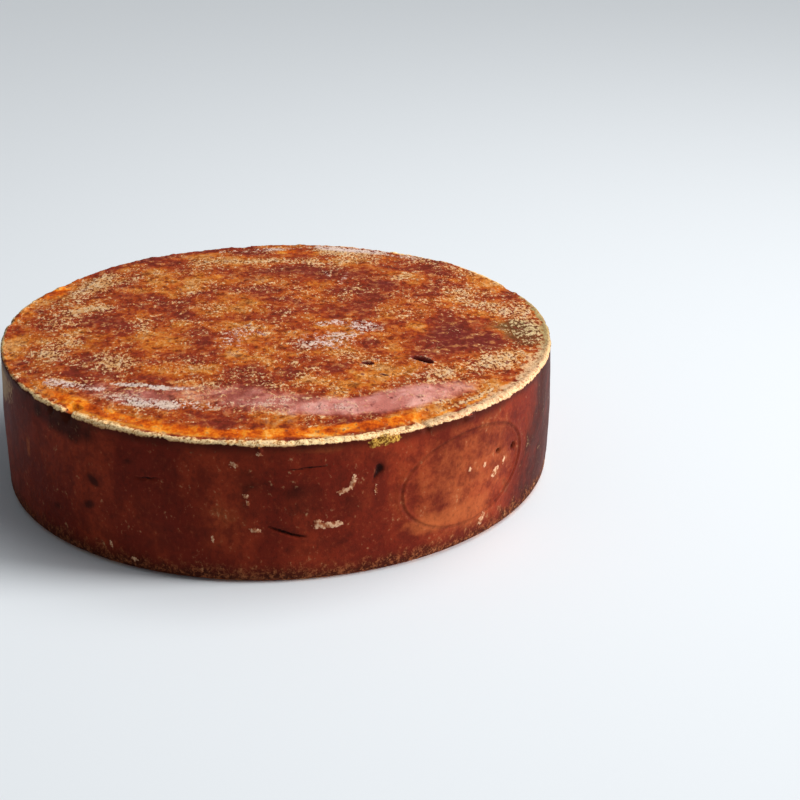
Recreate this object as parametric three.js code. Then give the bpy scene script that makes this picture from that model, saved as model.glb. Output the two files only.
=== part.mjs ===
// A whole wheel of aged, washed-rind cheese, lying flat on one of its two faces.
//
// The wheel is one piece: curd that was pressed in a hoop and ripened until its own
// surface became the rind.  So the model is one closed solid, turned on a lathe and
// then eased out of true, because a wheel that has been salted, washed and turned by
// hand for months is never exactly round.
//
// Millimetres, +Z up.  The origin lies on the resting face, under the middle of the
// wheel's bounding box.

import * as THREE from 'three';
import { mergeVertices } from 'three/addons/utils/BufferGeometryUtils.js';

// ---- Driving dimensions ---------------------------------------------------------

const WHEEL_RADIUS = 200; // the heel at the rim, where the hoop held the curd
const HEEL_HEIGHT = 101; // from the resting face up to the rim of the top face
const CROWN_RISE = 4; // how far the middle of the top face stands above its rim
const HEEL_BULGE = 1.5; // how far the heel swells beyond straight, half way up
const FOOT_TUCK = 1; // how much smaller the radius is at the foot than at the rim
const RIM_EDGE_RADIUS = 2.5; // the crisp edge between the heel and the top face
const FOOT_EDGE_RADIUS = 6; // the softer edge that the wheel's weight presses round

// The rim and the foot are each a little oval, and they are oval in different
// directions.  Each pair is how far the long radius passes the mean radius, and the
// direction of the long axis in degrees from +X.
const RIM_OVAL = 1.7;
const RIM_OVAL_DIRECTION = -49;
const FOOT_OVAL = 2.6;
const FOOT_OVAL_DIRECTION = 43;

// A faint three-sided swell of the whole outline, left by the shelf and by turning.
const THREE_SIDED_SWELL = 0.7;
const THREE_SIDED_DIRECTION = 54;

// ---- Fineness of the mesh ---------------------------------------------------------

const SEGMENTS_AROUND = 80;
const STEPS_UP_HEEL = 6;
const STEPS_PER_EDGE = 4;
const STEPS_ACROSS_CROWN = 8;
const MERGE_TOLERANCE = 1e-4;

const TURN = Math.PI * 2;

function degrees(angle) {
  return (angle * Math.PI) / 180;
}

// ---- The section ------------------------------------------------------------------

// Radius of the heel at a height, before the edges are rounded: a straight line from
// the foot to the rim with a shallow arc added to it.
function heelRadius(height) {
  const share = height / HEEL_HEIGHT;
  const straight = WHEEL_RADIUS - FOOT_TUCK * (1 - share);
  return straight + HEEL_BULGE * Math.sin(Math.PI * share);
}

// A quarter turn of edge from one angle to the next, about a centre in the section.
function edgeArc(centre, radius, startAngle) {
  const points = [];
  for (let step = 0; step <= STEPS_PER_EDGE; step += 1) {
    const angle = degrees(startAngle) + (Math.PI / 2) * (step / STEPS_PER_EDGE);
    const across = centre.x + radius * Math.cos(angle);
    const up = centre.y + radius * Math.sin(angle);
    points.push(new THREE.Vector2(across, up));
  }
  return points;
}

function footEdge() {
  const across = heelRadius(FOOT_EDGE_RADIUS) - FOOT_EDGE_RADIUS;
  const centre = new THREE.Vector2(across, FOOT_EDGE_RADIUS);
  return edgeArc(centre, FOOT_EDGE_RADIUS, -90);
}

function rimEdge() {
  const height = HEEL_HEIGHT - RIM_EDGE_RADIUS;
  const centre = new THREE.Vector2(heelRadius(height) - RIM_EDGE_RADIUS, height);
  return edgeArc(centre, RIM_EDGE_RADIUS, 0);
}

// The heel between the two edges, without their shared end points.
function heel() {
  const low = FOOT_EDGE_RADIUS;
  const high = HEEL_HEIGHT - RIM_EDGE_RADIUS;
  const points = [];
  for (let step = 1; step < STEPS_UP_HEEL; step += 1) {
    const height = low + (high - low) * (step / STEPS_UP_HEEL);
    points.push(new THREE.Vector2(heelRadius(height), height));
  }
  return points;
}

// The top face from the rim's edge in to the axis, a shallow dome.
function crown(rimRadius) {
  const points = [];
  for (let step = 1; step <= STEPS_ACROSS_CROWN; step += 1) {
    const share = 1 - step / STEPS_ACROSS_CROWN;
    const height = HEEL_HEIGHT + CROWN_RISE * (1 - share * share);
    points.push(new THREE.Vector2(rimRadius * share, height));
  }
  return points;
}

function wheelSection() {
  const foot = footEdge();
  const rim = rimEdge();
  const rimRadius = rim[rim.length - 1].x;
  const restingFaceMiddle = new THREE.Vector2(0, 0);
  return [restingFaceMiddle, ...foot, ...heel(), ...rim, ...crown(rimRadius)];
}

// ---- Out of true --------------------------------------------------------------------

// How far the outline passes the turned radius in a direction, at a height.
function outOfRound(direction, height) {
  const share = THREE.MathUtils.clamp(height / HEEL_HEIGHT, 0, 1);
  const rim = RIM_OVAL * Math.cos(2 * (direction - degrees(RIM_OVAL_DIRECTION)));
  const foot = FOOT_OVAL * Math.cos(2 * (direction - degrees(FOOT_OVAL_DIRECTION)));
  const swell = THREE_SIDED_SWELL * Math.cos(3 * (direction - degrees(THREE_SIDED_DIRECTION)));
  return rim * share + foot * (1 - share) + swell;
}

// Every point moves along its own radius, by its share of the distance to the outline,
// so both faces stay level and only the plan shape changes.
function easeOutOfRound(geometry) {
  const position = geometry.getAttribute('position');
  for (let index = 0; index < position.count; index += 1) {
    const x = position.getX(index);
    const y = position.getY(index);
    const z = position.getZ(index);
    const growth = 1 + outOfRound(Math.atan2(y, x), z) / WHEEL_RADIUS;
    position.setXYZ(index, x * growth, y * growth, z);
  }
}

// The turned points on the axis meet there in one point each, so the slivers between
// them are dropped.
function withoutSlivers(geometry) {
  const corners = geometry.getIndex().array;
  const kept = [];
  for (let index = 0; index < corners.length; index += 3) {
    const [a, b, c] = corners.slice(index, index + 3);
    if (a !== b && b !== c && c !== a) {
      kept.push(a, b, c);
    }
  }
  geometry.setIndex(kept);
  return geometry;
}

// Puts the origin under the middle of the box, on the resting face.
function centreOnRestingFace(geometry) {
  geometry.computeBoundingBox();
  const middle = geometry.boundingBox.getCenter(new THREE.Vector3());
  geometry.translate(-middle.x, -middle.y, -geometry.boundingBox.min.z);
}

function wheelGeometry() {
  const turned = new THREE.LatheGeometry(wheelSection(), SEGMENTS_AROUND, 0, TURN);
  turned.rotateX(Math.PI / 2);
  turned.deleteAttribute('normal');
  turned.deleteAttribute('uv');
  const closed = withoutSlivers(mergeVertices(turned, MERGE_TOLERANCE));
  easeOutOfRound(closed);
  centreOnRestingFace(closed);
  closed.computeVertexNormals();
  return closed;
}

// ---- The wheel ----------------------------------------------------------------------

// Washed rind: orange-brown, waxy to the touch, with a dull shine.
const rind = new THREE.MeshStandardMaterial({
  color: new THREE.Color(0.62, 0.33, 0.19),
  roughness: 0.55,
  metalness: 0,
});

const cheeseWheel = new THREE.Mesh(wheelGeometry(), rind);
cheeseWheel.name = 'cheese_wheel';

const model = new THREE.Group();
model.add(cheeseWheel);

export default model;
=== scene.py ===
import math

import bpy
import numpy as np
from mathutils import Matrix, Vector


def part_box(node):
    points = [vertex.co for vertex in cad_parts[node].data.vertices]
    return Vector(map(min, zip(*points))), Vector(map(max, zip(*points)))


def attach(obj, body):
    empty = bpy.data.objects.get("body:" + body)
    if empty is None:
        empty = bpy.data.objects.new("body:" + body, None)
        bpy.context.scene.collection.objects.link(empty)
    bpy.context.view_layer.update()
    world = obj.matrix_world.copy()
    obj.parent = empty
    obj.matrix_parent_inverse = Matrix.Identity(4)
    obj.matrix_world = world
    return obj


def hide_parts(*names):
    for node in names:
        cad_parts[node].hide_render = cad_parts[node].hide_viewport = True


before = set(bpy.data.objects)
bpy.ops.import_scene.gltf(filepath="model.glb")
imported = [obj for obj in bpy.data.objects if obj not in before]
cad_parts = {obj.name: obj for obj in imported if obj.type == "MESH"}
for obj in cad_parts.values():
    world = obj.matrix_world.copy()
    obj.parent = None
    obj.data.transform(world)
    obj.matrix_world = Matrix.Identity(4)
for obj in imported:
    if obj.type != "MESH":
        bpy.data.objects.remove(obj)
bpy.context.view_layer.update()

bpy.ops.object.select_all(action="DESELECT")


# ---- The pressed drum ----
# The curd is pressed in a hoop, so the wheel starts as a plain drum: a flat resting
# face, a heel that swells a little, and a level top face.  It is drawn up ring by ring
# from the foot and in over the rim, and then both faces are filled with quads.

HOOP_RADIUS = 0.200
CROWN_RISE = 0.004
RIM_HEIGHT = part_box("cheese_wheel")[1][2] - CROWN_RISE
HEEL_BULGE = 0.0015
FOOT_TUCK = 0.001
RIM_EDGE = 0.0025
RIM_EDGE_STEPS = 4
FOOT_EDGE = 0.006
FOOT_EDGE_STEPS = 6
POINTS_AROUND = 600
FACE_GRID = POINTS_AROUND // 4
HEEL_STEP = 0.0021
RIM_BAND = 0.024
RIM_STEP = 0.0016
RESTING_INSETS = (0, 0.002, 0.005, 0.010, 0.018)
RESTING_SHARE_KEPT = 0.10
RELAXING_ROUNDS = 60
HAIR = 0.0001


def heel_radius(height):
    """The heel's radius at a height, before its edges are rounded."""
    share = height / RIM_HEIGHT
    return HOOP_RADIUS - FOOT_TUCK * (1 - share) + HEEL_BULGE * math.sin(math.pi * share)


def edge_rings(across, up, radius, start, steps):
    """Rings round a quarter turn of edge, as (radius, height) pairs."""
    turns = [math.radians(start) + math.pi / 2 * step / steps for step in range(steps + 1)]
    return [(across + radius * math.cos(turn), up + radius * math.sin(turn)) for turn in turns]


def spaced(start, stop, step):
    """Evenly spaced values between start and stop, without either, about a step apart."""
    count = max(1, round(abs(stop - start) / step))
    return [start + (stop - start) * index / count for index in range(1, count)]


def wheel_rings():
    """Every ring from the resting face up the heel and in over the rim."""
    foot_across = heel_radius(FOOT_EDGE) - FOOT_EDGE
    rim_up = RIM_HEIGHT - RIM_EDGE
    rim_across = heel_radius(rim_up) - RIM_EDGE
    foot = edge_rings(foot_across, FOOT_EDGE, FOOT_EDGE, -90, FOOT_EDGE_STEPS)
    heel = [(heel_radius(height), height) for height in spaced(FOOT_EDGE, rim_up, HEEL_STEP)]
    rim = edge_rings(rim_across, rim_up, RIM_EDGE, 0, RIM_EDGE_STEPS)
    band = [(radius, RIM_HEIGHT) for radius in spaced(rim_across, rim_across - RIM_BAND, RIM_STEP)]
    return foot + heel + rim + band


def draw_up(rings):
    """Extrudes the selected ring from each (radius, height) to the next."""
    for (radius, height), (next_radius, next_height) in zip(rings, rings[1:]):
        grow = next_radius / radius
        bpy.ops.mesh.extrude_region_move(
            TRANSFORM_OT_translate={"value": (0, 0, next_height - height)}
        )
        bpy.ops.transform.resize(value=(grow, grow, 1), center_override=(0, 0, next_height))


def places(piece):
    """The place of every point of a piece, as one array of x, y, z rows."""
    values = np.empty(len(piece.data.vertices) * 3)
    piece.data.vertices.foreach_get("co", values)
    return values.reshape(-1, 3)


def select_points(piece, chosen):
    """Leaves a piece in edit mode with only the chosen points selected."""
    bpy.ops.object.mode_set(mode="EDIT")
    bpy.ops.mesh.select_mode(type="VERT")
    bpy.ops.mesh.select_all(action="DESELECT")
    bpy.ops.object.mode_set(mode="OBJECT")
    piece.data.vertices.foreach_set("select", chosen)
    bpy.ops.object.mode_set(mode="EDIT")


rings = wheel_rings()
bpy.ops.mesh.primitive_circle_add(vertices=POINTS_AROUND, radius=rings[0][0], location=(0, 0, 0))
wheel = bpy.context.object
wheel.name = "cheese_wheel_rind"
wheel.data.name = "cheese_wheel_rind"
bpy.ops.object.mode_set(mode="EDIT")
bpy.ops.mesh.select_mode(type="EDGE")
bpy.ops.mesh.select_all(action="SELECT")
draw_up(rings)
bpy.ops.mesh.fill_grid(span=FACE_GRID)

# The grid's inner points are relaxed, so its corners don't pinch at the band's edge.
bpy.ops.object.mode_set(mode="OBJECT")
x, y, z = places(wheel).T
inside = (np.hypot(x, y) < rings[-1][0] - 5 * HAIR) & (z > RIM_HEIGHT - HAIR)
select_points(wheel, inside)
bpy.ops.mesh.vertices_smooth(factor=0.5, repeat=RELAXING_ROUNDS)

# The resting face is hidden under the wheel's weight, so it takes wider rings and a
# coarser middle.
bpy.ops.object.mode_set(mode="OBJECT")
select_points(wheel, z < HAIR)
draw_up([(rings[0][0] - inset, 0) for inset in RESTING_INSETS])
bpy.ops.mesh.fill_grid(span=FACE_GRID)
bpy.ops.mesh.decimate(ratio=RESTING_SHARE_KEPT)
bpy.ops.mesh.select_all(action="SELECT")
bpy.ops.mesh.normals_make_consistent(inside=False)
bpy.ops.object.mode_set(mode="OBJECT")


# ---- The settled wheel ----
# Months of salting, washing and turning by hand ease the drum out of true.  The rim
# and the foot are oval in different directions, the top face domes, and the heel and
# the face take broad shallow hollows from the shelf, the cloth and the hands.

RIM_OVAL = 0.0017
RIM_OVAL_DIRECTION = -49
FOOT_OVAL = 0.0026
FOOT_OVAL_DIRECTION = 43
THREE_SIDED_SWELL = 0.0007
THREE_SIDED_DIRECTION = 54
BROAD_HOLLOW_SIZE = 0.085
BROAD_HOLLOW_DEPTH = 0.0032
HAND_HOLLOW_SIZE = 0.022
HAND_HOLLOW_DEPTH = 0.0010
FLAT_FOOT_HEIGHT = 0.001
FULL_HOLLOW_HEIGHT = 0.012
RIM_SOFTNESS = 0.0005
LEAST_WEIGHT = 0.002


def smooth_step(value, low, high):
    """0 below low and 1 above high, with a soft rise between them."""
    share = np.clip((value - low) / (high - low), 0, 1)
    return share * share * (3 - 2 * share)


def ease_out_of_round(piece):
    """Moves every point along its own radius, as the solid is eased."""
    place = places(piece)
    turn = np.arctan2(place[:, 1], place[:, 0])
    share = np.clip(place[:, 2] / RIM_HEIGHT, 0, 1)
    rim = RIM_OVAL * np.cos(2 * (turn - math.radians(RIM_OVAL_DIRECTION)))
    foot = FOOT_OVAL * np.cos(2 * (turn - math.radians(FOOT_OVAL_DIRECTION)))
    swell = THREE_SIDED_SWELL * np.cos(3 * (turn - math.radians(THREE_SIDED_DIRECTION)))
    growth = 1 + (rim * share + foot * (1 - share) + swell) / HOOP_RADIUS
    place[:, :2] *= growth[:, None]
    piece.data.vertices.foreach_set("co", place.ravel())
    piece.data.update()


def raise_by(piece, weights, height, grain=None, level=0.0):
    """Moves the surface out by a height, in metres, times each point's weight.

    A grain is a texture that breaks the height up, and level is the value of the
    grain that doesn't move."""
    group = piece.vertex_groups.new(name="raise")
    for index in np.flatnonzero(weights > LEAST_WEIGHT).tolist():
        group.add([index], float(weights[index]), "REPLACE")
    modifier = piece.modifiers.new("raise", "DISPLACE")
    modifier.vertex_group = group.name
    modifier.strength = height
    modifier.mid_level = level
    if grain:
        modifier.texture = grain
        modifier.texture_coords = "LOCAL"
    bpy.ops.object.modifier_apply(modifier=modifier.name)
    piece.vertex_groups.clear()


def cloudy(name, size, depth=2, basis="ORIGINAL_PERLIN"):
    """A soft irregular grain, with lumps of about a size in metres."""
    grain = bpy.data.textures.new(name, "CLOUDS")
    grain.noise_scale = size
    grain.noise_depth = depth
    grain.noise_basis = basis
    return grain


def surface(piece):
    """Each point's distance from the axis, direction in degrees and height."""
    across, deep, up = places(piece).T
    return np.hypot(across, deep), np.degrees(np.arctan2(deep, across)), up


ease_out_of_round(wheel)
reach, turn, up = surface(wheel)
on_top = smooth_step(up, RIM_HEIGHT - RIM_SOFTNESS, RIM_HEIGHT)
raise_by(wheel, on_top * np.clip(1 - (reach / HOOP_RADIUS) ** 2, 0, 1), CROWN_RISE)
off_the_floor = smooth_step(up, FLAT_FOOT_HEIGHT, FULL_HOLLOW_HEIGHT)
raise_by(wheel, off_the_floor, BROAD_HOLLOW_DEPTH, cloudy("broad_hollows", BROAD_HOLLOW_SIZE), 0.5)
raise_by(wheel, off_the_floor, HAND_HOLLOW_DEPTH, cloudy("hand_hollows", HAND_HOLLOW_SIZE), 0.5)


# ---- The rim ----
# Where the cloth was folded over, the rind stands up in a crisp, crumbling lip.  It is
# chipped and ragged all the way round, with a knob of dried curd hanging from it and a
# few places where it has been knocked down.

CREST_INSET = 0.001
CREST_REACH = 0.0028
CREST_RISE = 0.0005
FINE_RIM_REACH = 0.0055
CRUMBLE_SIZE = 0.0075
CRUMBLE_DEPTH = 0.0020
CHIP_SIZE = 0.0032
CHIP_DEPTH = 0.0010
CHIP_LEVEL = 0.35
KNOB_LUMP_SIZE = 0.0028
RIM_DEPTH = 0.012

# Knobs stand out and notches cut in: direction, height, length, width and depth.
RIM_KNOBS = [(-70.2, 0.0972, 0.0068, 0.0030, 0.0022), (-72.6, 0.0958, 0.0032, 0.0024, 0.0014),
             (-94, 0.0965, 0.0025, 0.0025, 0.0014), (-118, 0.0955, 0.0030, 0.0020, 0.0012),
             (-52, 0.0970, 0.0050, 0.0025, 0.0014), (61, 0.0975, 0.0070, 0.0030, 0.0022),
             (142, 0.0970, 0.0060, 0.0030, 0.0020)]
RIM_NOTCHES = [(-135.5, 0.1000, 0.0050, 0.0060, 0.0034), (-140.5, 0.0985, 0.0036, 0.0040, 0.0018),
               (-62, 0.0985, 0.0030, 0.0030, 0.0014), (24, 0.1000, 0.0090, 0.0050, 0.0014),
               (98, 0.1000, 0.0080, 0.0050, 0.0010), (171, 0.0990, 0.0060, 0.0050, 0.0014)]


def refine(piece, near):
    """Splits the faces whose points are all near, so that they can hold fine shape."""
    select_points(piece, near)
    bpy.ops.mesh.subdivide(number_cuts=1)
    bpy.ops.object.mode_set(mode="OBJECT")


def rim_distance(reach, up):
    """How far a point is from the rim's crest, along the surface."""
    inwards = np.minimum(reach - HOOP_RADIUS + CREST_INSET, 0)
    return np.hypot(inwards, np.minimum(up - RIM_HEIGHT, 0))


def between(turn, start, stop, soft):
    """1 in the stretch of rim from start to stop, in degrees, and 0 outside it."""
    middle = (start + stop) / 2
    away = np.abs((turn - middle + 180) % 360 - 180)
    return 1 - smooth_step(away, (stop - start) / 2 - soft, (stop - start) / 2 + soft)


def oval_spot(along, rise, length, width, tilt):
    """1 in the middle of a tilted oval, falling to 0 at its half length and half width."""
    lean = math.radians(tilt)
    first = (along * math.cos(lean) + rise * math.sin(lean)) / length
    second = (rise * math.cos(lean) - along * math.sin(lean)) / width
    return np.clip(1 - first ** 2 - second ** 2, 0, 1)


def round_the_heel(turn, direction):
    """How far round the heel from a direction, in metres."""
    return np.radians((turn - direction + 180) % 360 - 180) * HOOP_RADIUS


def on_heel(turn, up, direction, height, length, width, tilt=0.0):
    """An oval spot at a place on the heel."""
    return oval_spot(round_the_heel(turn, direction), up - height, length, width, tilt)


reach, turn, up = surface(wheel)
refine(wheel, rim_distance(reach, up) < FINE_RIM_REACH)
reach, turn, up = surface(wheel)
crest = np.exp(-((rim_distance(reach, up) / CREST_REACH) ** 2))
raise_by(wheel, crest, CREST_RISE)
raise_by(wheel, crest, CRUMBLE_DEPTH, cloudy("rim_crumble", CRUMBLE_SIZE, 3), 0.5)
raise_by(wheel, crest, CHIP_DEPTH, cloudy("rim_chips", CHIP_SIZE, 2, "VORONOI_F1"), CHIP_LEVEL)
knob_lumps = cloudy("knob_lumps", KNOB_LUMP_SIZE)
near_rim = reach > HOOP_RADIUS - RIM_DEPTH
for *knob, depth in RIM_KNOBS:
    spot = on_heel(turn, up, *knob) * near_rim
    raise_by(wheel, np.sqrt(spot), depth)
    raise_by(wheel, spot, depth, knob_lumps, 0.5)
for *notch, depth in RIM_NOTCHES:
    raise_by(wheel, np.sqrt(on_heel(turn, up, *notch)) * near_rim, -depth)


# ---- The top face's slits and pits ----
# Gas under the rind and picks of the cheese iron open a few slits, each with a thin
# raised lip and a hollow, painted dark as shade, and the washing brush leaves shallow pits and ripples.

SLIT_CUTS = 2
SLIT_MARGIN = 0.006
SLIT_LIP_LENGTH = 1.25
SLIT_LIP_WIDTH = 2.3
SLIT_LIP_RISE = 0.16
SLIT_SINK = 1.3
PIT_LIP_SIZE = 1.8
PIT_LIP_RISE = 0.4
PIT_SINK = 1.6
FACE_DEPTH = 0.004
CLOTH_GRAIN_SIZE = 0.0050
CLOTH_GRAIN_DEPTH = 0.0009

# Middle, half length, half width, tilt in degrees and depth.
SLITS = [((0.1002, -0.0705), 0.0098, 0.0042, -41, 0.0062),
         ((0.0615, -0.0757), 0.0050, 0.0030, -22, 0.0048),
         ((0.0718, -0.0965), 0.0034, 0.0011, -30, 0.0026)]
PITS = [((0.113, -0.047), 0.0036, 0.0026, -30, 0.0018), ((-0.1124, -0.1592), 0.0022, 0.0020, 0, 0.0014),
        ((-0.060, 0.120), 0.0030, 0.0018, 20, 0.0016), ((0.020, 0.060), 0.0024, 0.0016, 70, 0.0012),
        ((-0.090, -0.020), 0.0026, 0.0016, 10, 0.0012), ((0.130, 0.075), 0.0030, 0.0020, -60, 0.0014)]


def on_face(place, middle, length, width, tilt):
    """An oval spot at a place on the top face."""
    spot = oval_spot(place[:, 0] - middle[0], place[:, 1] - middle[1], length, width, tilt)
    return spot * (place[:, 2] > RIM_HEIGHT - FACE_DEPTH)


for cut in range(SLIT_CUTS):
    place = places(wheel)
    near = np.zeros(len(place), bool)
    for middle, length, width, tilt, depth in SLITS:
        near |= on_face(place, middle, length + SLIT_MARGIN, width + SLIT_MARGIN, tilt) > 0
    refine(wheel, near)
for middle, length, width, tilt, depth in SLITS:
    lip = on_face(places(wheel), middle, length * SLIT_LIP_LENGTH, width * SLIT_LIP_WIDTH, tilt)
    raise_by(wheel, lip, depth * SLIT_LIP_RISE)
    hollow = on_face(places(wheel), middle, length, width, tilt)
    raise_by(wheel, np.sqrt(hollow), -depth * SLIT_SINK)
place = places(wheel)
for middle, length, width, tilt, depth in PITS:
    lip = on_face(place, middle, length * PIT_LIP_SIZE, width * PIT_LIP_SIZE, tilt)
    raise_by(wheel, lip, depth * PIT_LIP_RISE)
    raise_by(wheel, on_face(place, middle, length, width, tilt), -depth * PIT_SINK)
up = surface(wheel)[2]
on_top = smooth_step(up, RIM_HEIGHT - RIM_SOFTNESS, RIM_HEIGHT + RIM_SOFTNESS)
raise_by(wheel, on_top, CLOTH_GRAIN_DEPTH, cloudy("cloth_grain", CLOTH_GRAIN_SIZE), 0.5)


# ---- The heel's marks ----
# The heel is the wheel's side.  A plain oval tool was pressed into it while the curd
# was soft, and since then it has picked up small holes, cracks, hanging threads of
# dried curd and a pitted band above the foot, where it stood in the brine.

OVAL_DIRECTION = -51.0
OVAL_HEIGHT = 0.0530
OVAL_LENGTH = 0.0570
OVAL_WIDTH = 0.0345
OVAL_LINE = 0.0011
OVAL_LINE_DEPTH = 0.0011
OVAL_LIP_SPREAD = 2.4
OVAL_LIP_RISE = 0.0005
OVAL_SINK = 0.0004
OVAL_EDGE = 0.12
OVAL_MARGIN = 0.0040
MARK_MARGIN = 0.003
HEEL_DEPTH = 0.006
CRUMB_LUMP_SIZE = 0.0024
CRUMB_RISE = 0.0014
BRINE_BAND_START = (0.004, 0.008)
BRINE_BAND_END = (0.011, 0.018)
BRINE_PIT_SIZE = 0.0036
BRINE_PIT_DEPTH = 0.0016

# Direction, height, half length, half width, tilt in degrees and depth of each mark.
HOLES = [(-42.7, 0.0613, 0.0028, 0.0024, 10, 0.0034), (-37.2, 0.0580, 0.0026, 0.0034, 0, 0.0040),
         (-71.8, 0.0775, 0.0030, 0.0040, 20, 0.0014), (-72.4, 0.0740, 0.0016, 0.0050, -30, 0.0008),
         (20, 0.0640, 0.0028, 0.0022, 0, 0.0026), (83, 0.0350, 0.0034, 0.0024, 10, 0.0022),
         (131, 0.0720, 0.0026, 0.0028, 0, 0.0026), (168, 0.0420, 0.0030, 0.0022, 20, 0.0018)]
CRACKS = [(-90.0, 0.0380, 0.0125, 0.0011, -22, 0.0022), (-87.2, 0.0350, 0.0060, 0.0009, -14, 0.0014),
          (-116.0, 0.0700, 0.0100, 0.0008, 8, 0.0012), (-85.0, 0.0835, 0.0190, 0.0008, 4, 0.0008),
          (48, 0.0540, 0.0110, 0.0009, -35, 0.0018), (108, 0.0660, 0.0140, 0.0009, 14, 0.0016)]
# Dried curd that stands on the heel: threads, crumbs and a smear.
CRUMBS = [(-81.8, 0.0415, 0.0110, 0.0026, 2, 0.0010), (-83.6, 0.0440, 0.0030, 0.0028, 0, 0.0012),
          (-78.5, 0.0655, 0.0062, 0.0022, 18, 0.0012), (-76.9, 0.0705, 0.0020, 0.0056, -12, 0.0010),
          (-98.8, 0.0861, 0.0034, 0.0020, -20, 0.0012), (-96.8, 0.0640, 0.0022, 0.0016, 0, 0.0012),
          (-96.4, 0.0590, 0.0014, 0.0020, 0, 0.0010), (-95.3, 0.0397, 0.0040, 0.0020, -8, 0.0014),
          (-72.5, 0.0630, 0.0010, 0.0040, 0, 0.0010), (-103.3, 0.0324, 0.0012, 0.0030, 0, 0.0008),
          (-43.5, 0.0470, 0.0050, 0.0028, 35, 0.0014), (-40.6, 0.0520, 0.0014, 0.0034, -10, 0.0012),
          (-51.4, 0.0585, 0.0014, 0.0022, 0, 0.0010), (-47.0, 0.0573, 0.0018, 0.0022, 0, 0.0012),
          (-46.8, 0.0150, 0.0030, 0.0050, -20, 0.0012), (-94.0, 0.0940, 0.0022, 0.0018, 0, 0.0012),
          (-125.0, 0.0150, 0.0014, 0.0030, 0, 0.0008), (-119.7, 0.0085, 0.0034, 0.0016, 0, 0.0008),
          (35, 0.0700, 0.0040, 0.0020, 15, 0.0012), (72, 0.0250, 0.0016, 0.0050, 0, 0.0010),
          (95, 0.0830, 0.0034, 0.0018, -10, 0.0010), (118, 0.0420, 0.0070, 0.0020, 5, 0.0010),
          (150, 0.0600, 0.0020, 0.0030, 0, 0.0012), (160, 0.0220, 0.0030, 0.0016, 0, 0.0010)]


def oval_line(turn, up, thick):
    """1 on the pressed oval's outline, falling to 0 at a thickness from it."""
    along = round_the_heel(turn, OVAL_DIRECTION)
    away = np.hypot(along / OVAL_LENGTH, (up - OVAL_HEIGHT) / OVAL_WIDTH)
    gap = np.abs(away - 1) * OVAL_WIDTH
    return np.clip(1 - (gap / thick) ** 2, 0, 1)


reach, turn, up = surface(wheel)
near = oval_line(turn, up, OVAL_MARGIN) > 0
for direction, height, length, width, tilt, depth in HOLES + CRACKS + CRUMBS:
    margins = (length + MARK_MARGIN, width + MARK_MARGIN)
    near |= on_heel(turn, up, direction, height, *margins, tilt) > 0
refine(wheel, near & (reach > HOOP_RADIUS - HEEL_DEPTH))

reach, turn, up = surface(wheel)
inside_oval = on_heel(turn, up, OVAL_DIRECTION, OVAL_HEIGHT, OVAL_LENGTH, OVAL_WIDTH)
raise_by(wheel, smooth_step(inside_oval, 0, OVAL_EDGE), -OVAL_SINK)
raise_by(wheel, oval_line(turn, up, OVAL_LINE * OVAL_LIP_SPREAD), OVAL_LIP_RISE)
raise_by(wheel, oval_line(turn, up, OVAL_LINE), -OVAL_LINE_DEPTH)
for *mark, depth in HOLES + CRACKS:
    raise_by(wheel, np.sqrt(on_heel(turn, up, *mark)), -depth)
crumbs = np.zeros(len(turn))
for *crumb, depth in CRUMBS:
    crumbs = np.maximum(crumbs, on_heel(turn, up, *crumb) * depth)
raise_by(wheel, np.sqrt(crumbs / CRUMB_RISE), CRUMB_RISE, cloudy("crumb_lumps", CRUMB_LUMP_SIZE), 0.1)
brine_band = smooth_step(up, *BRINE_BAND_START) * (1 - smooth_step(up, *BRINE_BAND_END))
raise_by(wheel, brine_band, BRINE_PIT_DEPTH, cloudy("brine_pits", BRINE_PIT_SIZE, 3), 0.5)


# ---- Where the rind takes its colours ----
# Ripening colours the rind in patches: pale bloom, red-brown, an orange smear inside the
# rim, pink wax, olive mould, and a crest rubbed bare.  Not all of it is the rind's own
# colour: the white bloom's thin streaks and the wax's pale pink are partly painted sheen,
# the heel's right end takes painted shadow, and the face grows darker towards its right
# end.  Each patch has a place and a strength, stored on the points, and the finishes
# break its edges up.

BLOT_SPREAD = 1.5
SLIT_HOLLOW_SPREAD = 1.1
SLIT_LIP_SPREADS = (1.4, 2.6)
MARK_SPREAD = 1.15
CRUMB_SPREAD = 1.2
KNOB_SPREAD = 1.5
OVAL_SPREAD = 1.6
CREST_INWARDS = 0.62
CREST_DOWNWARDS = 1.8
CREST_RIGHT_END = 1.8
LEAST_RUBBED = 0.8
FULLY_RUBBED = 1.5
KNOB_DEPTH = 0.003
SIDE_EDGE = (0.008, 0.004)
UNDER_EDGE = (0.0015, 0.001)
# Painted shadow over the heel's right end: the lean of its edge and its strength.
SHADOW_END_LEAN = 110
SHADOW_END_STRENGTH = 0.95

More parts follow.
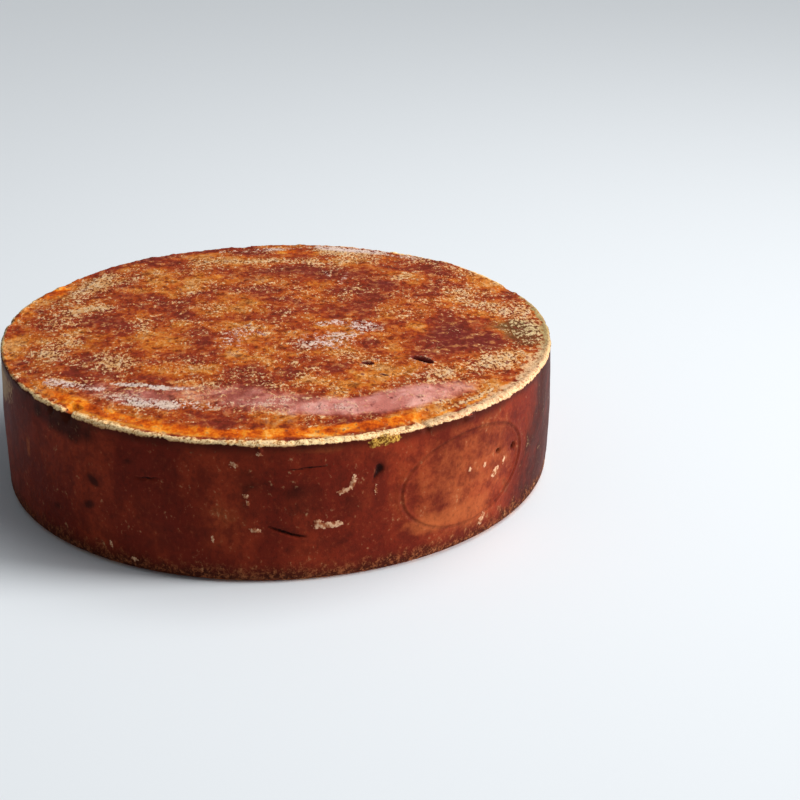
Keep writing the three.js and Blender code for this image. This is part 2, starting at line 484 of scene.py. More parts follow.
# Patches on the top face: middle, half sizes, tilt in degrees and strength.
PALE_BLOOM = [((-0.153, 0.055), 0.040, 0.020, 78, 0.75), ((-0.152, 0.046), 0.009, 0.006, 10, 0.9),
              ((-0.137, 0.052), 0.014, 0.005, 12, 0.9), ((-0.160, -0.034), 0.020, 0.014, 60, 0.8),
              ((-0.164, -0.034), 0.007, 0.006, 0, 0.7), ((-0.149, -0.012), 0.016, 0.010, 70, 0.5),
              ((-0.134, 0.115), 0.026, 0.016, 42, 0.55), ((-0.111, 0.118), 0.011, 0.009, 20, 0.6),
              ((-0.131, 0.131), 0.012, 0.005, 32, 0.8), ((-0.142, 0.109), 0.010, 0.008, 0, 0.6),
              ((-0.057, 0.168), 0.020, 0.010, 62, 0.5), ((-0.011, 0.158), 0.034, 0.006, 2, 0.7),
              ((0.034, 0.150), 0.030, 0.009, -10, 0.65), ((0.066, 0.157), 0.022, 0.012, -25, 0.5),
              ((0.055, 0.178), 0.030, 0.009, -16, 0.8), ((0.099, 0.107), 0.018, 0.008, 55, 0.85),
              ((0.136, 0.133), 0.030, 0.008, -48, 0.55), ((0.146, 0.060), 0.034, 0.012, -68, 0.85),
              ((0.178, 0.013), 0.032, 0.014, -84, 0.85), ((0.160, -0.058), 0.018, 0.014, -60, 0.45),
              ((0.140, -0.083), 0.034, 0.013, 38, 0.80), ((0.107, -0.096), 0.016, 0.009, 20, 0.5),
              ((0.042, -0.126), 0.030, 0.008, 6, 0.6), ((0.030, -0.112), 0.012, 0.006, 0, 0.6),
              ((-0.084, -0.066), 0.040, 0.018, 10, 0.35), ((-0.122, -0.058), 0.022, 0.014, -30, 0.45),
              ((-0.103, 0.019), 0.007, 0.011, 0, 0.7), ((-0.053, 0.050), 0.010, 0.007, 0, 0.6),
              ((0.011, 0.055), 0.012, 0.005, 0, 0.6), ((0.053, 0.070), 0.006, 0.010, 0, 0.6),
              ((0.019, -0.057), 0.005, 0.010, 20, 0.6), ((0.010, -0.073), 0.005, 0.004, 0, 0.9),
              ((-0.075, 0.075), 0.030, 0.012, 30, 0.35), ((0.050, -0.060), 0.026, 0.012, -20, 0.35),
              ((-0.020, -0.100), 0.050, 0.014, 4, 0.35), ((0.090, 0.030), 0.030, 0.012, -40, 0.3)]
# The patches in the middle are white bloom; the thin streaks along the front left and along the back of
# the rim are painted sheen.
WHITE_BLOOM_AND_SHEEN = [((0.038, 0.005), 0.011, 0.005, 10, 1.1), ((0.064, -0.004), 0.013, 0.008, -30, 1.3),
               ((0.036, -0.030), 0.024, 0.014, 20, 0.75), ((-0.027, -0.014), 0.016, 0.012, 30, 0.6),
               ((-0.036, -0.033), 0.009, 0.008, 0, 0.6), ((-0.093, -0.101), 0.022, 0.0028, -16, 1.3),
               ((-0.072, -0.109), 0.013, 0.0024, -4, 1.3), ((-0.134, -0.099), 0.013, 0.006, -20, 0.6),
               ((-0.124, -0.103), 0.005, 0.004, 0, 1.2), ((-0.095, -0.127), 0.024, 0.008, -26, 0.85),
               ((-0.063, -0.136), 0.024, 0.007, -14, 0.75), ((-0.153, -0.090), 0.011, 0.006, -35, 0.7),
               ((-0.008, -0.136), 0.030, 0.006, -3, 0.55), ((0.034, -0.147), 0.018, 0.004, 4, 0.7),
               ((0.058, 0.182), 0.028, 0.006, -18, 0.8), ((-0.012, 0.187), 0.030, 0.004, 2, 0.7),
               ((0.100, 0.165), 0.020, 0.006, -32, 0.6), ((0.095, -0.094), 0.020, 0.006, 18, 0.4),
               ((0.052, 0.105), 0.003, 0.014, -14, 0.6), ((0.040, 0.118), 0.002, 0.012, 12, 0.6)]
# The strongest patches near the face's right end make the face darker towards that end.
RED_BROWN = [((0.004, 0.122), 0.045, 0.022, -4, 0.75), ((0.066, 0.115), 0.032, 0.028, 40, 0.75),
             ((0.089, 0.086), 0.012, 0.010, 0, 0.7), ((0.128, -0.034), 0.034, 0.026, 58, 1.1),
             ((0.157, -0.040), 0.014, 0.018, 0, 0.7), ((-0.115, 0.026), 0.024, 0.024, 0, 0.6),
             ((-0.069, -0.036), 0.030, 0.024, 20, 0.55), ((0.028, 0.040), 0.040, 0.016, -6, 0.5),
             ((-0.088, 0.148), 0.034, 0.014, 30, 0.6), ((-0.027, 0.180), 0.014, 0.006, 8, 0.9),
             ((-0.172, -0.058), 0.020, 0.010, -64, 0.6), ((0.085, 0.045), 0.030, 0.020, -30, 0.4),
             ((-0.060, 0.090), 0.02, 0.01, 0, 0.3), ((0.118, 0.010), 0.030, 0.014, -70, 0.5),
             ((-0.125, -0.075), 0.028, 0.012, -38, 0.5), ((0.012, -0.088), 0.020, 0.010, 0, 0.3)]
ORANGE_SMEAR = [((0.015, 0.178), 0.018, 0.005, -4, 0.6), ((-0.046, 0.115), 0.014, 0.012, 0, 0.35),
                ((-0.172, 0.095), 0.014, 0.008, 58, 0.6), ((-0.057, 0.020), 0.032, 0.020, 10, 0.25),
                ((0.050, -0.094), 0.042, 0.010, -4, 0.25)]
# Pink wax: the rind's own colour, lightened in part as painted sheen.
PINK_WAX_AND_SHEEN = [((0.084, -0.1345), 0.044, 0.0130, 24, 1.0), ((0.046, -0.146), 0.036, 0.010, 8, 0.7),
            ((0.010, -0.142), 0.040, 0.012, -2, 0.45), ((-0.040, -0.122), 0.050, 0.014, -8, 0.45),
            ((-0.110, -0.112), 0.030, 0.010, -28, 0.40)]
# The first two make the face's right edge olive and darker.
OLIVE_MOULD = [((0.180, -0.018), 0.024, 0.013, 84, 1.0), ((0.166, 0.000), 0.014, 0.010, 0, 0.6),
               ((-0.160, 0.075), 0.020, 0.010, 60, 0.35)]

# Strips that follow the rim: radius, half width, start, stop, softness and strength.
PALE_STRIPS = [(0.1885, 0.0014, -56, -38, 5, 1.3)]
RED_STRIPS = [(0.169, 0.009, -128, -78, 12, 0.55), (0.196, 0.005, 98, 142, 12, 1.1)]
ORANGE_STRIPS = [(0.186, 0.007, -145, -60, 12, 1.2), (0.190, 0.007, 138, 178, 12, 0.35),
                 (0.190, 0.007, -180, -150, 12, 0.3), (0.1925, 0.0022, -60, -34, 5, 0.5)]

# How wide the crest is rubbed bare: direction in degrees and width in millimetres.
RUBBED_WIDTHS = [(-180, 1.2), (-168, 1.2), (-155, 1.4), (-150, 2.0), (-138, 3.3), (-125, 4.0),
                 (-112, 3.6), (-100, 3.0), (-88, 2.5), (-76, 2.7), (-70, 2.8), (-60, 3.0),
                 (-45, 3.4), (-36, 4.2), (-28, 5.6), (-20, 6.2), (-12, 5.0), (0, 3.2), (30, 2.4),
                 (58, 2.0), (72, 1.2), (105, 0.5), (120, 0.4), (140, 0.6), (152, 0.9),
                 (165, 0.8), (180, 1.2)]

# Patches on the heel: direction, height, half sizes, tilt in degrees and strength.
HEEL_DARK = [(-137, 0.0930, 0.0260, 0.0090, -3, 1.0), (-150, 0.0900, 0.0200, 0.0070, 0, 0.6),
             (-71.5, 0.0790, 0.0060, 0.0100, 20, 0.5), (-72.5, 0.0730, 0.0040, 0.0080, -30, 0.4),
             (-78, 0.0320, 0.0060, 0.0040, 30, 0.6), (-84, 0.0560, 0.0200, 0.0120, 0, 0.35),
             (-96, 0.0770, 0.0100, 0.0060, 0, 0.5), (-111, 0.0660, 0.0040, 0.0040, 0, 0.3),
             (-90, 0.0690, 0.0240, 0.0060, 4, 0.5), (-86, 0.0610, 0.0120, 0.0100, 0, 0.3),
             (-77, 0.0560, 0.0100, 0.0110, 10, 0.5), (-97, 0.0570, 0.0030, 0.0130, 0, 0.4),
             (-86, 0.0230, 0.0260, 0.0040, 3, 0.35), (-74, 0.0260, 0.0060, 0.0040, 20, 0.4),
             (-120, 0.0790, 0.0100, 0.0050, 10, 0.4), (-128.3, 0.0600, 0.0080, 0.0050, -20, 0.35),
             (-130, 0.0400, 0.0070, 0.0040, 30, 0.35), (-139.3, 0.0290, 0.0100, 0.0060, 15, 0.4),
             (-120.1, 0.0793, 0.0044, 0.0022, 10, 0.7), (-128.5, 0.0590, 0.0052, 0.0028, -20, 0.65),
             (-130.1, 0.0397, 0.0046, 0.0028, 30, 0.65), (-139.3, 0.0288, 0.0048, 0.0026, 15, 0.65),
             (-94, 0.0270, 0.0060, 0.0040, -20, 0.4), (-80, 0.0270, 0.0050, 0.0030, 10, 0.4),
             (25, 0.0700, 0.0300, 0.0120, 5, 0.6), (70, 0.0850, 0.0260, 0.0080, 0, 0.6),
             (110, 0.0300, 0.0200, 0.0120, 0, 0.5), (150, 0.0760, 0.0260, 0.0100, -6, 0.6)]
HEEL_ORANGE = [(-150, 0.0600, 0.0030, 0.0100, 6, 0.7), (-136, 0.0960, 0.0240, 0.0030, 0, 0.7),
               (-83, 0.0955, 0.0200, 0.0030, 0, 0.6), (-75, 0.0600, 0.0080, 0.0160, 0, 0.25),
               (-60, 0.0280, 0.0200, 0.0060, 0, 0.5), (-50, 0.0250, 0.0160, 0.0080, 0, 0.4),
               (-101, 0.0450, 0.0160, 0.0200, 0, 0.4), (-52, 0.0550, 0.0560, 0.0440, 0, 0.60),
               (40, 0.0450, 0.0180, 0.0200, 0, 0.5), (90, 0.0600, 0.0060, 0.0200, 0, 0.6),
               (140, 0.0400, 0.0200, 0.0160, 0, 0.5), (175, 0.0700, 0.0100, 0.0140, 0, 0.5)]
HEEL_PALE = [(-166, 0.0860, 0.0240, 0.0120, 12, 1.2), (-173, 0.0830, 0.0180, 0.0140, 10, 0.9),
             (66, 0.0950, 0.0160, 0.0040, 0, 0.6), (125, 0.0930, 0.0200, 0.0040, 0, 0.6)]


def stain(piece, name, amount):
    """Stores an amount for each point, which the finishes read by its name."""
    layer = piece.data.attributes.new(name, "FLOAT", "POINT")
    layer.data.foreach_set("value", np.asarray(amount, float))


def blots(place, patches):
    """The sum of soft patches on the top face."""
    amount = np.zeros(len(place))
    for middle, length, width, tilt, strength in patches:
        amount += strength * on_face(place, middle, length * BLOT_SPREAD, width * BLOT_SPREAD, tilt)
    return amount


def strips(reach, turn, patches):
    """The sum of soft strips that follow the rim."""
    amount = np.zeros(len(turn))
    for middle, width, start, stop, soft, strength in patches:
        across = np.exp(-(((reach - middle) / width) ** 2))
        amount += strength * across * between(turn, start, stop, soft)
    return amount


def heel_blots(turn, up, patches):
    """The sum of soft patches on the heel."""
    amount = np.zeros(len(turn))
    for direction, height, length, width, tilt, strength in patches:
        sizes = (length * BLOT_SPREAD, width * BLOT_SPREAD)
        amount += strength * on_heel(turn, up, direction, height, *sizes, tilt)
    return amount


def marks_on_heel(turn, up, marks, spread):
    """The strongest of the holes, cracks, crumbs or knobs at each point."""
    amount = np.zeros(len(turn))
    for direction, height, length, width, tilt, depth in marks:
        mark = on_heel(turn, up, direction, height, length * spread, width * spread, tilt)
        amount = np.maximum(amount, mark)
    return amount


place = places(wheel)
reach, turn, up = surface(wheel)
stain(wheel, "pale_bloom", blots(place, PALE_BLOOM) + strips(reach, turn, PALE_STRIPS))
stain(wheel, "white_bloom", blots(place, WHITE_BLOOM_AND_SHEEN))
stain(wheel, "red_brown", blots(place, RED_BROWN) + strips(reach, turn, RED_STRIPS))
stain(wheel, "orange_smear", blots(place, ORANGE_SMEAR) + strips(reach, turn, ORANGE_STRIPS))
stain(wheel, "pink_wax", blots(place, PINK_WAX_AND_SHEEN))
stain(wheel, "olive_mould", blots(place, OLIVE_MOULD))

# The bare crest reaches further in over the face than down the heel, where it stops
# soonest round the right end.
directions, widths = zip(*RUBBED_WIDTHS)
rubbed_width = np.interp(turn, directions, widths)
inwards = np.minimum(reach - HOOP_RADIUS, 0) * CREST_INWARDS
steepness = CREST_DOWNWARDS + CREST_RIGHT_END * between(turn, -26, 30, 10)
downwards = np.minimum(up - RIM_HEIGHT, 0) * steepness
crest_gap = np.hypot(inwards, downwards) * 1000
worn = np.minimum(rubbed_width - (FULLY_RUBBED - 1), 1)
stain(wheel, "rubbed_rim", worn - crest_gap / np.maximum(rubbed_width, LEAST_RUBBED))
stain(wheel, "rosy_rim", between(turn, -64, -10, 12) * 0.65)
green_right = between(turn, -14, 22, 12) * 0.85
green_left = between(turn, 176, 200, 12) * 0.6
stain(wheel, "greened_rim", green_right + green_left)
yellow_knobs = [(*knob, 0, depth) for *knob, depth in RIM_KNOBS[:2]]
curd_knobs = marks_on_heel(turn, up, yellow_knobs, KNOB_SPREAD)
stain(wheel, "curd_knobs", curd_knobs * (reach > HOOP_RADIUS - KNOB_DEPTH))

slit_hollows = np.zeros(len(turn))
slit_lips = np.zeros(len(turn))
for middle, length, width, tilt, depth in SLITS:
    hollow = on_face(place, middle, length * SLIT_HOLLOW_SPREAD, width * SLIT_HOLLOW_SPREAD, tilt)
    slit_hollows = np.maximum(slit_hollows, hollow)
    lip_sizes = (length * SLIT_LIP_SPREADS[0], width * SLIT_LIP_SPREADS[1])
    slit_lips = np.maximum(slit_lips, on_face(place, middle, *lip_sizes, tilt))
stain(wheel, "slit_hollows", slit_hollows)
stain(wheel, "slit_lips", slit_lips)

# The heel's stains stop at its edges.  Its right end is darkened by painted shadow, along
# a line that leans with the height, and the distance below the rim is in units of 100 mm.
outside = smooth_step(reach, HOOP_RADIUS - SIDE_EDGE[0], HOOP_RADIUS - SIDE_EDGE[1])
on_side = outside * (1 - smooth_step(up, RIM_HEIGHT - UNDER_EDGE[0], RIM_HEIGHT + UNDER_EDGE[1]))
painted_shadow_end = smooth_step(turn - SHADOW_END_LEAN * up, -48, -30) * (1 - smooth_step(turn, -14, 50))
dark = heel_blots(turn, up, HEEL_DARK) + SHADOW_END_STRENGTH * painted_shadow_end
stain(wheel, "heel_dark", dark * on_side)
stain(wheel, "heel_orange", heel_blots(turn, up, HEEL_ORANGE) * on_side)
stain(wheel, "heel_pale", heel_blots(turn, up, HEEL_PALE) * on_side)
stain(wheel, "heel_holes", marks_on_heel(turn, up, HOLES + CRACKS, MARK_SPREAD) * on_side)
stain(wheel, "heel_crumbs", marks_on_heel(turn, up, CRUMBS, CRUMB_SPREAD) * on_side)
stain(wheel, "heel_oval", oval_line(turn, up, OVAL_LINE * OVAL_SPREAD) * on_side)
stain(wheel, "below_rim", np.maximum(RIM_HEIGHT - up, 0) * 10)


# ---- The top face's finish ----
# The washed face is a dull, slightly waxy skin.  Every wash leaves another thin film of
# colour, so it starts from mottled gold and red-brown.  Then come the orange smear, the
# mould, the bloom with streaks of painted sheen, the pink wax with its painted sheen, the
# bare ivory crest and the slits' painted shade, laid in turn.

FACE_GRIT_STRETCH = (1, 0.62, 1)
FACE_DULLNESS = 0.50
FACE_SHEEN = 0.06
FACE_RELIEF = 0.7
FACE_RELIEF_DEPTH = 0.0014
WAX_GLOSS = 0.5
WAX_ROUGHNESS = 0.34


def tone(red, green, blue):
    """A colour for a socket, from the 0 to 255 values that a colour chart gives."""
    shares = [value / 255 for value in (red, green, blue)]
    light = [share / 12.92 if share <= 0.04045 else ((share + 0.055) / 1.055) ** 2.4 for share in shares]
    return (*light, 1.0)


# Tones along the washed rind and along the smear, from dark to light.
WASHED_RIND = [(0.26, tone(124, 42, 26)), (0.38, tone(146, 50, 20)), (0.48, tone(162, 66, 20)),
               (0.58, tone(184, 88, 24)), (0.70, tone(198, 114, 36)), (0.84, tone(208, 142, 78))]
SMEARED_RIND = [(0.20, tone(132, 44, 6)), (0.38, tone(184, 72, 6)), (0.50, tone(216, 100, 10)),
                (0.64, tone(236, 138, 30)), (0.80, tone(248, 188, 92)), (0.95, tone(252, 222, 160))]
PLUM = tone(102, 34, 32)
DARK_GRIT = tone(88, 32, 13)
GOLD_GRIT = tone(222, 152, 86)
OLIVE = tone(88, 62, 32)
FLECK_GAPS = tone(88, 40, 18)
FLECKS = (tone(204, 148, 92), tone(236, 208, 164))
MOULDY_FLECKS = tone(214, 196, 148)
WHITE_FLECKS = tone(224, 206, 196)
DRIED_CURD_AND_SHEEN = (tone(214, 188, 160), tone(224, 192, 186))
WAX_AND_SHEEN = (tone(200, 118, 104), tone(234, 172, 160))
SMEAR_FRINGE = tone(250, 190, 74)
CREAM = tone(214, 160, 98)
IVORY = tone(246, 214, 160)
FACE_CREST_EDGE = tone(226, 158, 78)
ROSY_CREST = tone(206, 156, 122)
GREENED_CREST = tone(154, 134, 88)
CREST_CRACKS = tone(148, 90, 44)
KNOB_LUMPS = (tone(112, 66, 20), tone(206, 160, 72))
SLIT_LIP = tone(206, 168, 140)
SLIT_WALL_SHADE = tone(120, 44, 36)
SLIT_HOLLOW_SHADE = tone(44, 17, 18)


class Amount:
    """A number that changes over the rind: one output socket, with arithmetic."""

    def __init__(self, finish, socket):
        self.finish = finish
        self.socket = socket

    def math(self, operation, first, second):
        """One Math node on two amounts or numbers."""
        return self.finish.add("Math", {"operation": operation}, {0: first, 1: second})

    def __add__(self, other):
        return self.math("ADD", self, other)

    def __radd__(self, other):
        return self.math("ADD", other, self)

    def __sub__(self, other):
        return self.math("SUBTRACT", self, other)

    def __rsub__(self, other):
        return self.math("SUBTRACT", other, self)

    def __mul__(self, other):
        return self.math("MULTIPLY", self, other)

    def __rmul__(self, other):
        return self.math("MULTIPLY", other, self)

    def step(self, low, high):
        """0 below low and 1 above high, with a soft rise between them."""
        settings = {"interpolation_type": "SMOOTHSTEP"}
        return self.finish.add("MapRange", settings, {"Value": self, "From Min": low, "From Max": high})


class Finish:
    """A material, and the one way that nodes are added to it."""

    def __init__(self, name):
        self.material = bpy.data.materials.new(name)
        self.material.use_nodes = True
        self.nodes = self.material.node_tree.nodes
        self.links = self.material.node_tree.links
        self.skin = self.nodes["Principled BSDF"]

    def feed(self, socket, value):
        """Links a socket to an amount, or sets it to a plain value."""
        if isinstance(value, Amount):
            self.links.new(value.socket, socket)
        else:
            socket.default_value = value

    def add(self, kind, settings, sockets, output=0):
        """Adds a node: its settings and any stops first, then its sockets."""
        node = self.nodes.new("ShaderNode" + kind)
        for name, value in settings.items():
            if name == "stops":
                self.set_stops(node.color_ramp.elements, value)
            else:
                setattr(node, name, value)
        for name, value in sockets.items():
            self.feed(node.inputs[name], value)
        return Amount(self, node.outputs[output])

    def set_stops(self, bar, stops):
        """Sets a ramp's stops, each a position and a tone."""
        while len(bar) < len(stops):
            bar.new(0.5)
        for element, (position, colour) in zip(bar, stops):
            element.position = position
            element.color = colour

    def dress(self, looks):
        """Feeds the skin's sockets by their names."""
        for name, value in looks.items():
            self.feed(self.skin.inputs[name], value)

    def spot(self):
        """The place on the piece that a pattern is drawn at."""
        return self.add("TexCoord", {}, {}, "Object")

    def stretched(self, place, scale):
        """A place that draws a pattern out along an axis."""
        return self.add("Mapping", {}, {"Vector": place, "Scale": scale})

    def noise(self, place, scale, detail, roughness=0.5, distortion=0.0):
        """A soft irregular pattern, with so many lumps to the metre."""
        sockets = {"Vector": place, "Scale": scale, "Detail": detail, "Roughness": roughness,
                   "Distortion": distortion}
        return self.add("TexNoise", {}, sockets)

    def ramp(self, amount, stops):
        """A colour picked along a row of stops."""
        return self.add("ValToRGB", {"stops": stops}, {0: amount})

    def stained(self, name):
        """The amount of a stain that is stored on the points."""
        return self.add("Attribute", {"attribute_name": name}, {}, "Fac")

    def lay(self, under, over, amount):
        """One colour laid over another, by an amount from 0 to 1."""
        settings = {"data_type": "RGBA", "clamp_factor": True}
        return self.add("Mix", settings, {0: amount, 6: under, 7: over}, 2)

    def relief(self, height, strength, depth):
        """The fine relief of the skin, to a depth in metres."""
        return self.add("Bump", {}, {"Strength": strength, "Distance": depth, "Height": height})


def rubbed_bare(rubbed, broad, mottle, grain):
    """Where the crest is rubbed down to the curd, with a ragged edge."""
    ragged = (grain - 0.5) * 1.8 + (mottle - 0.5) * 3.0 + (broad - 0.5) * 1.6
    return (rubbed + ragged).step(-0.16, 0.24)


def bare_curd(finish, rubbed, grain, speck, patchy, edge, edge_width, edge_strength):
    """The crest's ivory curd: yellowed at its edge, rosy or green in places, cracked."""
    curd = finish.lay(CREAM, IVORY, (grain * 0.6 + speck * 0.4).step(0.38, 0.52))
    edging = (edge_width - rubbed + (grain - 0.5) * 1.6).step(-0.1, 0.5)
    curd = finish.lay(curd, edge, edging * edge_strength)
    curd = finish.lay(curd, ROSY_CREST, finish.stained("rosy_rim") * (0.4 + patchy))
    curd = finish.lay(curd, GREENED_CREST, finish.stained("greened_rim"))
    return finish.lay(curd, CREST_CRACKS, (1 - speck).step(0.53, 0.63) * 0.75)


def lay_knobs(finish, colour, grain, speck):
    """The lumps of dried yellow curd that hang from the rim."""
    knobs = finish.stained("curd_knobs")
    lumps = finish.lay(*KNOB_LUMPS, (grain * 0.5 + speck * 0.5).step(0.45, 0.57))
    cover = (knobs + (grain - 0.5) * 1.8).step(0.15, 0.45) * knobs.step(0, 0.1)
    return finish.lay(colour, lumps, cover * 0.9)


face = Finish("washed_face")
spot = face.spot()
drawn = face.stretched(spot, FACE_GRIT_STRETCH)
broad = face.noise(spot, 21, 3, 0.55)
mottle = face.noise(spot, 70, 4, 0.60)
crowd = face.noise(spot, 44, 3, 0.60)
ripple = face.noise(spot, 150, 3, 0.62, 0.6)
grain = face.noise(drawn, 250, 4, 0.62)
speck = face.noise(drawn, 480, 3, 0.68)
pale = face.stained("pale_bloom")
white = face.stained("white_bloom")
red = face.stained("red_brown")
orange = face.stained("orange_smear")
rubbed = face.stained("rubbed_rim")

hue = 0.51 + (broad - 0.5) * 1.5 + (mottle - 0.5) * 1.0 + (grain - 0.5) * 0.6
colour = face.ramp(hue - red * 0.14 + orange * 0.20, WASHED_RIND)
colour = face.lay(colour, PLUM, (red + (mottle - 0.5) * 1.5).step(0.55, 1.20) * 0.65)
grit = ripple * 0.6 + grain * 0.4
colour = face.lay(colour, DARK_GRIT, (1 - grit).step(0.48, 0.66) * 0.80)
colour = face.lay(colour, GOLD_GRIT, grit.step(0.50, 0.66) * 0.55)
smeared = (orange + (mottle - 0.5) * 1.0).step(0.25, 0.75)
smear = face.ramp(0.50 + (mottle - 0.5) * 1.3 + (grain - 0.5) * 0.9, SMEARED_RIND)
colour = face.lay(colour, smear, smeared * 0.95)
olive = face.stained("olive_mould")
mouldy = (olive + (mottle - 0.5) * 1.5).step(0.15, 1.0)
colour = face.lay(colour, OLIVE, mouldy * 0.85)

# The bloom breaks up into flecks, with darker rind in the gaps between them.
bloomed_and_sheen = pale * 0.42 + white * 0.36 + (crowd - 0.5) * 1.3 + (ripple - 0.5) * 1.0
bloomed_and_sheen = bloomed_and_sheen - red * 0.16 - smeared * 0.25 + olive * 0.08
flecks = (bloomed_and_sheen + (speck - 0.5) * 2.8).step(0.22, 0.50)
gaps = (bloomed_and_sheen * 0.8 + (0.5 - speck) * 2.8).step(0.28, 0.60)
colour = face.lay(colour, FLECK_GAPS, gaps * 0.75)
fleck = face.lay(*FLECKS, grain.step(0.42, 0.62))
fleck = face.lay(fleck, MOULDY_FLECKS, mouldy * 0.7)
fleck = face.lay(fleck, WHITE_FLECKS, white.step(0.15, 0.80) * 0.9)
colour = face.lay(colour, fleck, flecks * 0.85)
# Dried curd, and the painted sheen streaks among the white bloom, laid as pale curd.
curds_and_sheen = (white * 0.32 + (ripple - 0.5) * 1.7 + (grain - 0.5) * 2.4).step(0.20, 0.72)
curd = face.lay(*DRIED_CURD_AND_SHEEN, broad.step(0.44, 0.56))
colour = face.lay(colour, curd, curds_and_sheen * white.step(0.0, 0.30) * 0.72)

# The wax lies over the flecks in a smooth film, its pale pink partly painted sheen, and
# the smear's fringe is a bright yellow.
waxed = (face.stained("pink_wax") + (mottle - 0.5) * 0.9 + (grain - 0.5) * 0.5).step(0.05, 0.95)
wax_and_sheen = face.lay(*WAX_AND_SHEEN, (broad * 0.4 + mottle * 0.4 + grain * 0.2).step(0.42, 0.60))
colour = face.lay(colour, wax_and_sheen, waxed * (0.84 - 0.35 * flecks))
fringe = (rubbed + (grain - 0.5) * 1.2).step(-0.9, 0.1) * smeared
colour = face.lay(colour, SMEAR_FRINGE, fringe * 0.7)
bare = rubbed_bare(rubbed, broad, mottle, grain)
crest = bare_curd(face, rubbed, grain, speck, ripple, FACE_CREST_EDGE, 0.30, 0.6)
colour = face.lay(colour, crest, bare)
colour = lay_knobs(face, colour, grain, speck)
lip = (face.stained("slit_lips") + (speck - 0.5) * 3 - 0.3).step(0.2, 0.6)
colour = face.lay(colour, SLIT_LIP, lip * 0.5)
# The slits' hollows are painted dark as shade, in two steps towards their middles.
hollow = face.stained("slit_hollows") + (grain - 0.5) * 0.8
colour = face.lay(colour, SLIT_WALL_SHADE, hollow.step(0.02, 0.20))
colour = face.lay(colour, SLIT_HOLLOW_SHADE, hollow.step(0.20, 0.60))
rough = mottle * 0.45 + grain * 0.35 + speck * 0.20 + flecks * 0.12
face.dress({
    "Base Color": colour,
    "Roughness": FACE_DULLNESS + 0.16 * flecks - 0.18 * waxed + 0.2 * bare,
    "Normal": face.relief(rough, FACE_RELIEF, FACE_RELIEF_DEPTH),
    "Specular IOR Level": FACE_SHEEN,
    "Coat Weight": waxed * WAX_GLOSS,
    "Coat Roughness": WAX_ROUGHNESS,
})


# ---- The heel's finish ----
# The heel has the same washed skin, smoother and a darker, more even red-brown.  It is
# soiled in some patches and warmer in others, pitted along the foot and flecked with the
# crumbs that stand on it.  Painted shade darkens it under the rim and in its holes and
# cracks, and painted shadow darkens its right end.

HEEL_STRETCH = (1, 1, 0.85)
HEEL_GRAIN_STRETCH = (1, 1, 0.8)
HEEL_DULLNESS = 0.46
HEEL_SHEEN = 0.03
HEEL_RELIEF = 0.6
HEEL_RELIEF_DEPTH = 0.0012
HEEL_RIND = (tone(102, 31, 19), tone(132, 47, 26))
HEEL_MOTTLE = tone(86, 28, 18)
WARM_HEEL = tone(168, 86, 46)
HEEL_PORES = tone(64, 24, 16)
HEEL_GLINTS = tone(168, 84, 50)
SOILED_AND_SHADOWED_HEEL = tone(40, 15, 11)
PITTED_FOOT = (tone(50, 22, 14), tone(140, 82, 50))
PALE_HEEL = tone(190, 154, 112)
PRESSED_LINE = tone(40, 16, 12)
HOLE_SHADE = tone(30, 13, 11)
CRUMB = (tone(150, 88, 56), tone(214, 172, 136))
SHADE_UNDER_THE_RIM = tone(50, 18, 11)
HEEL_CREST_EDGE = tone(172, 108, 56)

heel = Finish("washed_heel")
spot = heel.spot()
broad = heel.noise(heel.stretched(spot, HEEL_STRETCH), 22, 3, 0.5)
mottle = heel.noise(spot, 90, 5, 0.62)
grain = heel.noise(heel.stretched(spot, HEEL_GRAIN_STRETCH), 340, 3, 0.64)
speck = heel.noise(spot, 900, 2, 0.6)
rubbed = heel.stained("rubbed_rim")
down = heel.stained("below_rim")

colour = heel.lay(*HEEL_RIND, broad.step(0.42, 0.64))
colour = heel.lay(colour, HEEL_MOTTLE, (1 - mottle).step(0.44, 0.64) * 0.55)
warm = (heel.stained("heel_orange") + (mottle - 0.5) * 1.2).step(0.22, 1.00)
colour = heel.lay(colour, WARM_HEEL, warm * 0.8)
colour = heel.lay(colour, HEEL_PORES, (1 - grain).step(0.50, 0.70) * 0.36)
colour = heel.lay(colour, HEEL_GLINTS, grain.step(0.54, 0.76) * 0.24)
# The soiled patches and the painted shadow on the heel's right end share one dark tone.
soiled_and_shadowed = (heel.stained("heel_dark") + (mottle - 0.5) * 1.6 + (broad - 0.5) * 1.4).step(0.20, 1.05)
colour = heel.lay(colour, SOILED_AND_SHADOWED_HEEL, soiled_and_shadowed * 0.85)
foot = (down + (mottle - 0.5) * 0.26 + (grain - 0.5) * 0.10).step(0.85, 0.97)
pitted = heel.lay(*PITTED_FOOT, (grain * 0.6 + speck * 0.4).step(0.45, 0.62))
colour = heel.lay(colour, pitted, foot * 0.85)
faded = heel.stained("heel_pale") + (grain - 0.5) * 2.4 + (mottle - 0.5) * 2.0 - 0.1
colour = heel.lay(colour, PALE_HEEL, faded.step(0.25, 1.10) * 0.75)
oval = (heel.stained("heel_oval") + (mottle - 0.5) * 1.2).step(0.2, 0.9)
colour = heel.lay(colour, PRESSED_LINE, oval * 0.25)
# The holes' and cracks' hollows are painted near black, as painted shade.
holes = (heel.stained("heel_holes") + (grain - 0.5) * 1.6).step(0.30, 0.90)
colour = heel.lay(colour, HOLE_SHADE, holes * 0.9)
crumbs = heel.stained("heel_crumbs")
crumb = (crumbs + (grain - 0.5) * 1.6 + (speck - 0.5) * 1.6).step(0.35, 0.60) * crumbs.step(0.0, 0.2)
colour = heel.lay(colour, heel.lay(*CRUMB, grain.step(0.42, 0.62)), crumb * 0.85)
